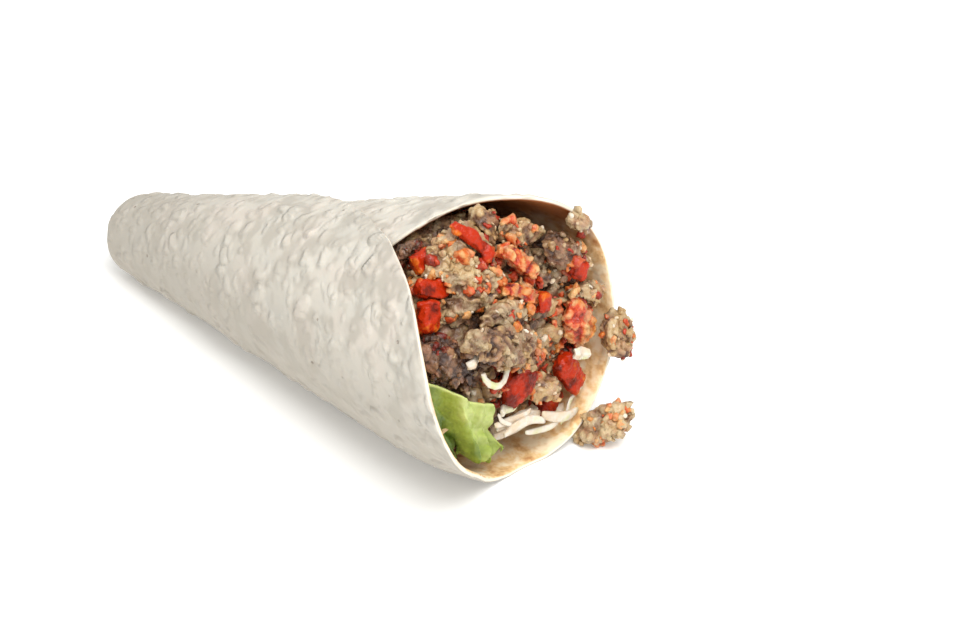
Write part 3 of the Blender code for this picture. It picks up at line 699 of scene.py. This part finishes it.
def wet_pepper():
    material, shader, spot = recipe("wet red pepper")
    # Painted shade: the stored height, less each cut's Shade, makes hollows and shaded cuts deeper red and
    # raised parts oranger.
    raised_less_shade = painted(spot, "height").between(-1.0 * MM, 1.0 * MM)
    tone = spot.clouds(PEPPER_PATCH, 3, 0.6) * 0.8 + raised_less_shade * 0.25
    tone.colours((0.34, PEPPER_DEEP), (0.47, PEPPER_RED), (0.57, PEPPER_RED), (0.67, PEPPER_ORANGE)).into(
        shader.inputs["Base Color"])
    shader.inputs["Roughness"].default_value = 0.32
    shader.inputs["Specular IOR Level"].default_value = 0.22
    lit_within(shader, 0.1, 1.0 * MM, (1.0, 0.15, 0.05))
    bumped(shader, spot.clouds(1.5 * MM, 2, 0.6), PEPPER_RELIEF)
    return material


peppers = bpy.data.collections.new("peppers")
pepper_finish = wet_pepper()
pepper_crags = crag_tree("pepper unevenness", pepper_finish)
for k, node in enumerate(PEPPER_CUTS):
    depth = PEPPER_PAINTED_SHADE if node in PEPPER_IN_PAINTED_SHADE else 0.0
    sizes = {**PEPPER_CRAGS, "Shade": depth, "Shift": PEPPER_START + PEPPER_STEP * k}
    peppers.objects.link(in_place_of(node, node + "_cut", PEPPER_FACE, PEPPER_ROUNDS, pepper_crags, sizes))


# ---- the chopped pepper ---------------------------------------------------------------------------
# Three spoonfuls of finely chopped pepper with onion in it, wet and soft. The bits are red, orange and
# cream, and too fine to tell apart.
PEPPER_PULP = ("pepper_right", "pepper_centre_top", "pepper_centre")
PULP_DARK, PULP_RED, PULP_BRIGHT = (0.13, 0.010, 0.003), (0.44, 0.028, 0.005), (0.62, 0.07, 0.010)
PULP_ORANGE, PULP_CREAM, PULP_TAN = (0.62, 0.20, 0.03), (0.72, 0.44, 0.18), (0.50, 0.30, 0.14)
PULP_CRAGS = {"Lump rise": 2.6 * MM, "Crumb rise": 1.7 * MM, "Crack depth": 0.8 * MM, "Grain rise": 2.0 * MM}
PULP_FACE, PULP_ROUNDS, PULP_START, PULP_STEP = 0.38 * MM, 8, 0.61, 0.013

pulp_finish = moist_flesh("pepper pulp", PULP_DARK, PULP_RED, PULP_BRIGHT, PULP_ORANGE, PULP_CREAM,
                          PULP_TAN)
pulp_crags = crag_tree("pulp crags", pulp_finish)
for k, node in enumerate(PEPPER_PULP):
    sizes = {**PULP_CRAGS, "Shade": 0.0, "Shift": PULP_START + PULP_STEP * k}
    peppers.objects.link(in_place_of(node, node + "_pulp", PULP_FACE, PULP_ROUNDS, pulp_crags, sizes))


# ---- the loose crumbs -----------------------------------------------------------------------------
# Crumbs of meat, chips of red pepper and flecks of pale onion and fat, which cling to the filling's
# front and to the spilt bits, and close the gaps between the shavings.
CRUMB_FACING, BIT_LUMP = 0.15, 1.3 * MM
FLECK_CREAM, FLECK_WHITE = (0.66, 0.50, 0.33), (0.78, 0.70, 0.56)


def scatter_tree(name, material, seed, patch, ground, beside):
    """Uneven bits over the front of what is in one collection. They gather in patches, beside what is
    in another if it is given, and each is turned and sized by chance from the tree's own seed."""
    sizes = ("Bits per square metre", "Apart", "Smallest", "Largest", "Slimmest", "Unevenness", "Reach",
             "Clear of the wall")
    tree, given = modifier_tree(name, sizes)
    start = given["Geometry"]
    lying_on = start.node("GeometryNodeCollectionInfo", {"Collection": ground})
    lying_on = lying_on.node("GeometryNodeRealizeInstances", {"Geometry": lying_on})
    spot = start.node("GeometryNodeInputPosition")
    faces_out = start.node("GeometryNodeInputNormal")
    faces_out = faces_out.node("ShaderNodeVectorMath", {0: faces_out, 1: tuple(AXIS)}, out=1,
                               operation="DOT_PRODUCT")
    shifted = spot + (seed, seed, seed)
    wanted = faces_out.between(0.0, CRUMB_FACING) * shifted.clouds(patch, 2).between(0.42, 0.56)
    wall = start.node("GeometryNodeObjectInfo", {"Object": tortilla}, out="Geometry")
    gap = spot.node("GeometryNodeProximity", {"Geometry": wall, "Sample Position": spot}, out="Distance")
    wanted = wanted * gap.node("ShaderNodeMath", {0: gap, 1: given["Clear of the wall"]},
                               operation="GREATER_THAN")
    if beside:
        cuts = start.node("GeometryNodeCollectionInfo", {"Collection": beside})
        cuts = cuts.node("GeometryNodeRealizeInstances", {"Geometry": cuts})
        away = spot.node("GeometryNodeProximity", {"Geometry": cuts, "Sample Position": spot}, out=1)
        near = away.node("ShaderNodeMapRange", {"Value": away, "From Min": given["Reach"], "From Max": 0.0})
        wanted = wanted * near
    points = lying_on.node("GeometryNodeDistributePointsOnFaces",
                           {"Mesh": lying_on, "Distance Min": given["Apart"], "Seed": seed,
                            "Density Max": given["Bits per square metre"], "Density Factor": wanted},
                           distribute_method="POISSON")
    turn = points.node("FunctionNodeRandomValue", {0: (0, 0, 0), 1: (2 * pi, 2 * pi, 2 * pi), "Seed": seed},
                       data_type="FLOAT_VECTOR")
    size = points.node("FunctionNodeRandomValue",
                       {2: given["Smallest"], 3: given["Largest"], "Seed": seed + 1}, out=1,
                       data_type="FLOAT")
    slim = points.node("FunctionNodeRandomValue", {2: given["Slimmest"], 3: 1.0, "Seed": seed + 2},
                       out=1, data_type="FLOAT")
    form = slim.node("ShaderNodeCombineXYZ", {"X": size, "Y": size * slim, "Z": size * slim})
    bit = points.node("GeometryNodeMeshIcoSphere", {"Radius": 0.5, "Subdivisions": 2})
    bits = points.node("GeometryNodeInstanceOnPoints",
                       {"Points": points, "Instance": bit, "Rotation": turn, "Scale": form})
    bits = bits.node("GeometryNodeRealizeInstances", {"Geometry": bits})
    # Each bit takes on the stored height of what it lies on, and with it that piece's painted shade.
    under = start.node("GeometryNodeInputNamedAttribute", {"Name": "height"}, data_type="FLOAT")
    height = (shifted.clouds(BIT_LUMP, 1) - 0.5) * given["Unevenness"]
    bits = bits.node("GeometryNodeStoreNamedAttribute",
                     {"Geometry": bits, "Name": "height", "Value": under + height * 0.4},
                     data_type="FLOAT", domain="POINT")
    end_tree(tree, raised(bits, height), material)
    return tree


def scattered(name, tree, sizes):
    bits = put_in(name, bpy.data.meshes.new(name))
    make_solid(bits, tree, sizes)
    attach(bits, "root")
    return bits


fleck_finish = moist_flesh("onion and fat", MEAT_BROWN, MEAT_OCHRE, FLECK_CREAM, FLECK_WHITE, FLECK_WHITE,
                           FLECK_CREAM)
scraps = scattered("meat_scraps", scatter_tree("meat scraps", meat_finish, 5, 14 * MM, core, None),
                   {"Bits per square metre": 40000.0, "Apart": 4.0 * MM, "Smallest": 4.5 * MM,
                    "Largest": 8.5 * MM, "Slimmest": 0.5, "Unevenness": 7.0 * MM,
                    "Clear of the wall": 6.0 * MM})
heap.objects.link(scraps)
scattered("meat_crumbs", scatter_tree("meat crumbs", meat_finish, 3, 9 * MM, heap, None),
          {"Bits per square metre": 130000.0, "Apart": 1.5 * MM, "Smallest": 1.2 * MM, "Largest": 3.2 * MM,
           "Slimmest": 0.45, "Unevenness": 4.0 * MM, "Clear of the wall": 2.6 * MM})
scattered("pepper_chips", scatter_tree("pepper chips", pulp_finish, 11, 4 * MM, heap, peppers),
          {"Bits per square metre": 420000.0, "Apart": 1.3 * MM, "Smallest": 1.2 * MM, "Largest": 4.4 * MM,
           "Slimmest": 0.3, "Unevenness": 3.5 * MM, "Reach": 10 * MM,
           "Clear of the wall": 3.2 * MM})
scattered("spilt_pepper_chips", scatter_tree("spilt pepper chips", pulp_finish, 31, 4 * MM, spilt, None),
          {"Bits per square metre": 90000.0, "Apart": 1.5 * MM, "Smallest": 1.4 * MM, "Largest": 3.4 * MM,
           "Slimmest": 0.4, "Unevenness": 2.0 * MM, "Clear of the wall": 1.0 * MM})
scattered("onion_flecks", scatter_tree("onion flecks", fleck_finish, 23, 6 * MM, heap, None),
          {"Bits per square metre": 50000.0, "Apart": 1.6 * MM, "Smallest": 0.8 * MM, "Largest": 2.2 * MM,
           "Slimmest": 0.35, "Unevenness": 2.0 * MM, "Clear of the wall": 2.0 * MM})
for gathered in (heap, core, spilt, peppers):
    bpy.data.collections.remove(gathered)


# ---- the onion and cabbage ------------------------------------------------------------------------
# Thin shreds of raw onion and white cabbage, wet, nearly white and a little see-through, and finer
# strands of cabbage low in the mouth, which taper to both ends.
SHREDS = ("onion_curl", "onion_bit", "onion_side", "onion_pink", "cabbage_low", "cabbage_side")
SHRED_WHITE, SHRED_CREAM, SHRED_GREEN = (0.72, 0.66, 0.57), (0.68, 0.55, 0.40), (0.62, 0.63, 0.34)
SHRED_PATCH, SHRED_GRAIN, SHRED_RELIEF = 6 * MM, 1.1 * MM, 0.3 * MM
SHRED_FACE, SHRED_ROUNDS, SHRED_START, SHRED_STEP = 0.24 * MM, 3, 0.7, 0.017
SHRED_CRAGS = {"Lump rise": 0.7 * MM, "Crumb rise": 0.1 * MM, "Crack depth": 0.0, "Grain rise": 0.1 * MM}
MOUTH = 188 * MM                                          # from the tip along the roll's axis
STRANDS = (                       # across, up and out at both ends, the bow and the width, in mm
    ((-7, -28, -2), (9, -29.5, -1), -2.2, 3.4), ((-10, -23.5, -3), (5, -24.5, -2), 0.8, 2.8),
    ((9, -27.5, -2), (25, -33, -2), 1.6, 3.6), ((2, -31, -3), (18, -33.5, -3), 1.2, 2.2),
    ((-9, -20, -2), (-4.5, -25, -1), 0.8, 1.6), ((19, -36, -4), (29, -27, -4), -1.0, 1.6),
    ((-8, -26, -4), (10, -28, -4), -1.2, 3.4))
STRAND_RINGS, STRAND_SIDES, STRAND_FLAT = 16, 8, 0.35
STRAND_TIP, STRAND_SWELL = 0.26, 0.24                     # shares of the width, at both ends and added
STRAND_WAVE, STRAND_WAVES = 0.4 * MM, 9


def raw_shred():
    material, shader, spot = recipe("raw onion and cabbage")
    tint = spot.clouds(SHRED_PATCH, 2)
    tint.colours((0.38, SHRED_CREAM), (0.5, SHRED_WHITE), (0.68, SHRED_GREEN)).into(
        shader.inputs["Base Color"])
    shader.inputs["Roughness"].default_value = 0.28
    lit_within(shader, 0.3, 1.5 * MM, (1.0, 0.9, 0.7))
    bumped(shader, spot.clouds(SHRED_GRAIN, 2), SHRED_RELIEF)
    return material


def in_mouth(across, up, out):
    return TIP + AXIS * (MOUTH + out) + SIDE * across + UP * up


def strand(start, end, bow, width):
    """One shred: a flat tube that bows sideways and tapers to both ends."""
    start, end = in_mouth(*(Vector(start) * MM)), in_mouth(*(Vector(end) * MM))
    along = (end - start).normalized()
    sideways = along.cross(AXIS).normalized()
    lift = sideways.cross(along)
    base = len(strand_points)
    for k in range(STRAND_RINGS):
        share = k / (STRAND_RINGS - 1)
        half = width * MM * (STRAND_TIP + STRAND_SWELL * sin(pi * share) ** 0.6)
        middle = start.lerp(end, share) + sideways * bow * MM * sin(pi * share)
        middle += lift * STRAND_WAVE * sin(STRAND_WAVES * share + bow)
        for j in range(STRAND_SIDES):
            turn = 2 * pi * j / STRAND_SIDES
            round_it = sideways * half * cos(turn) + lift * half * STRAND_FLAT * sin(turn)
            strand_points.append(middle + round_it)
    for k in range(STRAND_RINGS - 1):
        for j in range(STRAND_SIDES):
            n = (j + 1) % STRAND_SIDES
            a, b = base + k * STRAND_SIDES, base + (k + 1) * STRAND_SIDES
            strand_faces.append((a + j, a + n, b + n, b + j))
    last = base + (STRAND_RINGS - 1) * STRAND_SIDES
    strand_faces.append(tuple(base + j for j in reversed(range(STRAND_SIDES))))
    strand_faces.append(tuple(last + j for j in range(STRAND_SIDES)))


shred_finish = raw_shred()
shred_crags = crag_tree("shred unevenness", shred_finish)
for k, node in enumerate(SHREDS):
    sizes = {**SHRED_CRAGS, "Shade": 0.0, "Shift": SHRED_START + SHRED_STEP * k}
    in_place_of(node, node + "_shred", SHRED_FACE, SHRED_ROUNDS, shred_crags, sizes)

strand_points, strand_faces = [], []
for ends in STRANDS:
    strand(*ends)
mesh = bpy.data.meshes.new("cabbage_strands")
mesh.from_pydata(strand_points, [], strand_faces)
face_out(mesh)
mesh.materials.append(shred_finish)
mesh.shade_smooth()
strands = put_in("cabbage_strands", mesh)
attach(strands, "root")


# ---- the lettuce ----------------------------------------------------------------------------------
# A torn piece of iceberg lettuce, thin and crisp, pale at its rib and upper edge, bright green between,
# with painted shade that darkens it beside the lip, darker towards its lower edge, and with a ruffled and
# torn lower edge.
LEAF = 0.6 * MM                                           # thick
LEAF_ACROSS, LEAF_DOWN = 130, 96                          # faces
LEAF_TOP = ((-37, 2, -5), (-11, -16, -1))                 # the corners, across, up and out, in mm
LEAF_LOW = ((-26, -26.2, -7), (-8, -35.5, -6))
LEAF_FOLD, LEAF_DENT, LEAF_CREASE, LEAF_ARCH = 3.6, 1.8, 1.5, 0.9          # mm
LEAF_RUFFLE, LEAF_FRILL, LEAF_TORN, LEAF_RIPPLE, LEAF_UNEVEN = 1.9, 1.7, 1.3, 1.3, 0.8
LEAF_PATCH, LEAF_GRAIN, LEAF_RELIEF = 5 * MM, 3 * MM, 0.7 * MM
LEAF_GREEN, LEAF_BRIGHT, LEAF_PALE = (0.07, 0.125, 0.01), (0.27, 0.35, 0.045), (0.58, 0.65, 0.225)


def leaf_point(u, v):
    """The leaf's middle surface: u goes across it, v down it."""
    top = Vector(LEAF_TOP[0]).lerp(Vector(LEAF_TOP[1]), u)
    low = Vector(LEAF_LOW[0]).lerp(Vector(LEAF_LOW[1]), u)
    fold = LEAF_FOLD * exp(-abs((u - 0.5 + 0.12 * v) / 0.16) ** 1.6)
    dent = LEAF_DENT * exp(-(((v - 0.52) / 0.12) ** 2)) * u
    crease = LEAF_CREASE * exp(-(((u - 0.8 + 0.3 * v) / 0.06) ** 2))
    ruffle = LEAF_RUFFLE * v**1.5 * sin(17 * u + 2.5 * v) * (0.35 + 0.65 * u)
    frill = LEAF_FRILL * v**3 * sin(23 * u + 1) + LEAF_TORN * v**6 * sin(61 * u + 2)
    fine = LEAF_RIPPLE * v**3 * sin(39 * u + 8 * v) + LEAF_UNEVEN * noise.noise(Vector((7 * u, 5 * v, 3)))
    arch = LEAF_ARCH * sin(7 * u) * (1 - v)
    moved = Vector((0.6 * ruffle + fine, arch - frill, fold - dent + crease + ruffle + fine))
    return in_mouth(*((top.lerp(low, v) + moved) * MM))


def lettuce_leaf():
    material, shader, spot = recipe("lettuce leaf")
    across, down = painted(spot, "leaf_u"), painted(spot, "leaf_v")
    # Painted shade beside the lip, where u is small; the leaf also turns darker towards its lower edge.
    tone = spot.clouds(LEAF_PATCH, 3, 0.6) * 0.6 + across.between(0.08, 0.6) * 0.42
    tone = tone - down.between(0.35, 0.9) * 0.2
    blade = tone.colours((0.18, LEAF_GREEN), (0.5, LEAF_BRIGHT), (0.85, LEAF_PALE))
    rib = across.off(0.5).between(0.08, 0.0) * (1 - down)
    blade = (rib * 0.6).mixed(blade, LEAF_PALE)
    down.between(0.06, 0.0).mixed(blade, LEAF_PALE).into(shader.inputs["Base Color"])
    shader.inputs["Roughness"].default_value = 0.36
    lit_within(shader, 0.2, 1.0 * MM, (0.7, 1.0, 0.3))
    bumped(shader, spot.clouds(LEAF_GRAIN, 2, 0.5), LEAF_RELIEF)
    return material


points, faces, leaf_u, leaf_v = [], [], [], []
for j in range(LEAF_DOWN + 1):
    for i in range(LEAF_ACROSS + 1):
        u, v = i / LEAF_ACROSS, j / LEAF_DOWN
        points.append(leaf_point(u, v))
        leaf_u.append(u)
        leaf_v.append(v)
for j in range(LEAF_DOWN):
    for i in range(LEAF_ACROSS):
        a = j * (LEAF_ACROSS + 1) + i
        faces.append((a, a + 1, a + LEAF_ACROSS + 2, a + LEAF_ACROSS + 1))
mesh = bpy.data.meshes.new("lettuce_leaf")
mesh.from_pydata(points, [], faces)
mesh.attributes.new("leaf_u", "FLOAT", "POINT").data.foreach_set("value", leaf_u)
mesh.attributes.new("leaf_v", "FLOAT", "POINT").data.foreach_set("value", leaf_v)
mesh.materials.append(lettuce_leaf())
mesh.shade_smooth()
leaf = put_in("lettuce_leaf", mesh)
thick = leaf.modifiers.new("leaf", "SOLIDIFY")
thick.thickness = LEAF
thick.offset = 0
leaf.data = bpy.data.meshes.new_from_object(leaf.evaluated_get(bpy.context.evaluated_depsgraph_get()))
leaf.modifiers.clear()
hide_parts("lettuce")
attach(leaf, "root")
